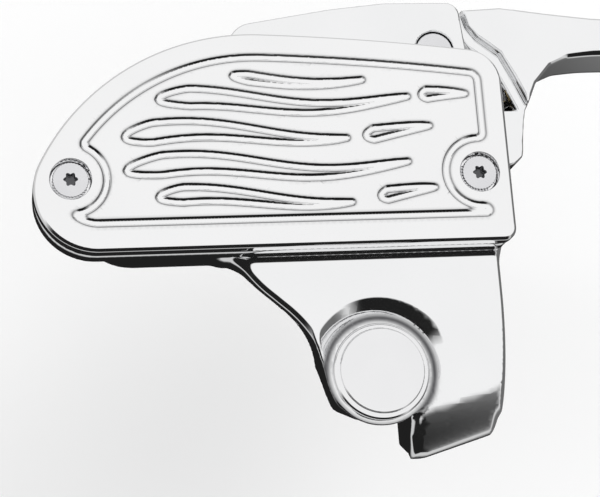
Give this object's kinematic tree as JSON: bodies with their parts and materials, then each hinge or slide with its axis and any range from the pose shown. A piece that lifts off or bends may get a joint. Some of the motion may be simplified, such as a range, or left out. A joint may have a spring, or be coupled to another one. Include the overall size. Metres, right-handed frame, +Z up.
{
  "type": "brake master cylinder",
  "caption": "Chrome motorcycle front brake master cylinder with reservoir and flame-milled cover, handlebar clamp, swinging lever and a piston that the lever pushes.",
  "frame": {"origin": "centre of the handlebar bore, midway along the clamp", "axes": "+X along the handlebar towards the grip, +Y forward on the motorcycle, +Z up and square to the reservoir cover"},
  "size_m": [0.2581, 0.0992, 0.0506],
  "materials": {
    "chromed_casting": "polished",
    "chromed_cover": "polished",
    "chromed_plug": "polished",
    "chromed_lever": "polished",
    "polished_steel": "polished",
    "plain_steel": "satin",
    "black_rubber": "matte",
    "white_plastic": "matte",
    "black_plastic": "satin",
    "anodised_piston": "satin",
    "bronze": "satin",
    "terminal_brass": "satin"
  },
  "bodies": {
    "master_body": {"cylinder_body": "chromed_casting", "reservoir_cover": "chromed_cover", "cover_screws": "polished_steel", "diaphragm": "black_rubber", "diaphragm_plate": "white_plastic", "port_baffle": "plain_steel", "mirror_hole_plug": "chromed_plug", "handlebar_clamp": "chromed_casting", "clamp_bolts": "polished_steel", "clamp_washers": "plain_steel", "return_spring": "plain_steel", "stop_washer": "plain_steel", "snap_ring": "plain_steel", "dust_boot": "black_rubber", "pivot_pin": "polished_steel", "pivot_clip": "plain_steel", "brake_switch_housing": "black_plastic", "brake_switch_terminals": "terminal_brass", "brake_switch_screw": "plain_steel"},
    "lever": {"brake_lever": "chromed_lever", "lever_bush": "bronze"},
    "piston_assembly": {"piston": "anodised_piston", "primary_cup": "black_rubber", "secondary_cup": "black_rubber", "spring_seat": "plain_steel"},
    "switch_plunger": {"brake_switch_plunger": "white_plastic"}
  },
  "joints": [
    {"name": "lever_swing", "type": "hinge", "parent": "master_body", "child": "lever", "pos_m": [0.0021, 0.0533, 0.004], "axis": [0, 0, -1], "range_deg": [0, 14], "stiffness_Nm_per_rad": 0.6, "springref_deg": -17.19},
    {"name": "piston_stroke", "type": "slide", "parent": "master_body", "child": "piston_assembly", "axis": [-1, 0, 0], "range_m": [0, 0.0054], "deforming": ["return_spring"]},
    {"name": "switch_plunger_travel", "type": "slide", "parent": "master_body", "child": "switch_plunger", "axis": [1, 0, 0], "range_m": [0, 0.0009]}
  ],
  "couplings": [
    {"joint": "piston_stroke", "follows": "lever_swing", "m_per_rad": 0.0219},
    {"joint": "switch_plunger_travel", "follows": "lever_swing", "m_per_rad": 0.0033}
  ]
}
